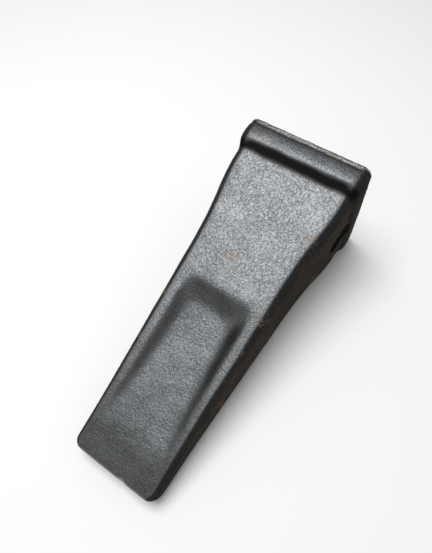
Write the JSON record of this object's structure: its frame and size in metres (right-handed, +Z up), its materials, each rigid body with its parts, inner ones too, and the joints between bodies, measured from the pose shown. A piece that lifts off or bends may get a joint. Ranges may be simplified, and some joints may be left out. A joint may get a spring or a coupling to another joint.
{
  "type": "excavator bucket tooth",
  "caption": "Long wedge-shaped digging tooth for a small excavator bucket, with a tapered rear socket, spoon recesses in its faces, a cross pin and an open spring ring that holds the pin.",
  "frame": {"origin": "centre of the retaining pin, where its axis crosses the tooth's middle plane", "axes": "+X level towards the cutting edge with the tooth lying on its lower face, +Y along the retaining pin, +Z up; the tooth's own centreline runs from the socket to the edge 10.5 degrees below +X"},
  "size_m": [0.185, 0.0684, 0.0753],
  "materials": {
    "tooth_steel": "oiled, pebbly forging skin",
    "pin_steel": "turned and heat treated",
    "ring_steel": "blued spring steel"
  },
  "bodies": {
    "tooth": {"tooth_point": "tooth_steel", "retainer_ring": "ring_steel"},
    "pin": {"retaining_pin": "pin_steel"}
  },
  "joints": [
    {"name": "pin_drive", "type": "slide", "parent": "tooth", "child": "pin", "axis": [0, 1, 0], "range_m": [0, 0.066], "deforming": ["retainer_ring"]}
  ]
}
